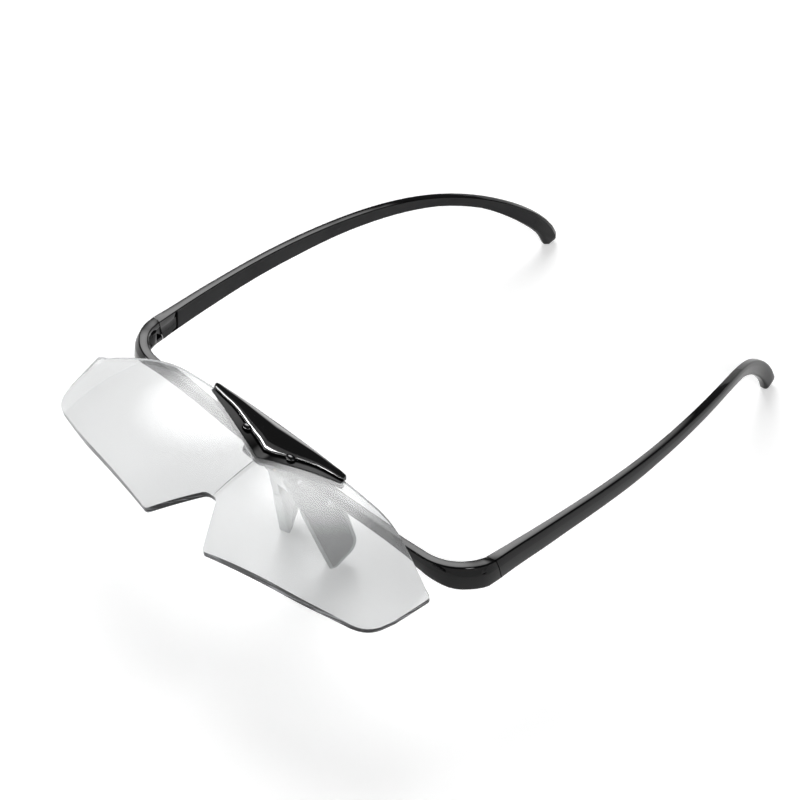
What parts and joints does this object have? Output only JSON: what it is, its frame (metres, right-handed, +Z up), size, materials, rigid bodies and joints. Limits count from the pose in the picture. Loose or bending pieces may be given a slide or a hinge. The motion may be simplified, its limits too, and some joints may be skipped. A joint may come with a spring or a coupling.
{
  "type": "flip-up magnifying glasses",
  "caption": "Spectacle-style magnifier: a domed clear lens moulding that flips up on a cross pin, over a slim moulded front with folding temples and nose pads.",
  "frame": {"origin": "on the table, under the middle of the object's box; it stands on its nose pads and temple tips", "axes": "+X to the wearer's right, -Y out of the front, +Z up, with the temples running back along +Y"},
  "size_m": [0.1484, 0.2061, 0.0564],
  "materials": {
    "gloss_black": "polished injection-moulded plastic",
    "matt_black": "fine satin texture",
    "soft_pad": "soft satin",
    "clear_lens": "optically clear, polished",
    "screw_steel": "plain turned",
    "core_steel": "rolled strip",
    "insert_brass": "turned"
  },
  "bodies": {
    "frame": {"front_bar": "gloss_black", "nose_bridge": "gloss_black", "nose_pad_right": "soft_pad", "nose_pad_left": "soft_pad", "nose_screws": "screw_steel", "flip_pin": "screw_steel", "friction_washers": "insert_brass", "detent_springs": "core_steel", "hinge_screw_right": "screw_steel", "hinge_screw_left": "screw_steel", "hinge_insert_right": "insert_brass", "hinge_insert_left": "insert_brass"},
    "lens_unit": {"lens": "clear_lens", "lens_carrier": "gloss_black", "bridge_cover": "gloss_black", "clamp_screws": "screw_steel", "clamp_inserts": "insert_brass"},
    "right_temple": {"temple_right": "gloss_black", "temple_inlay_right": "matt_black", "core_wire_right": "core_steel"},
    "left_temple": {"temple_left": "gloss_black", "temple_inlay_left": "matt_black", "core_wire_left": "core_steel"}
  },
  "joints": [
    {"name": "lens_flip", "type": "hinge", "parent": "frame", "child": "lens_unit", "pos_m": [0, -0.06384, 0.0415], "axis": [1, 0, 0], "range_deg": [0, 80]},
    {"name": "right_temple_fold", "type": "hinge", "parent": "frame", "child": "right_temple", "pos_m": [0.0709, -0.04894, 0.0381], "axis": [0, 0, 1], "range_deg": [0, 70]},
    {"name": "left_temple_fold", "type": "hinge", "parent": "frame", "child": "left_temple", "pos_m": [-0.0709, -0.04894, 0.0381], "axis": [0, 0, -1], "range_deg": [0, 80]}
  ]
}
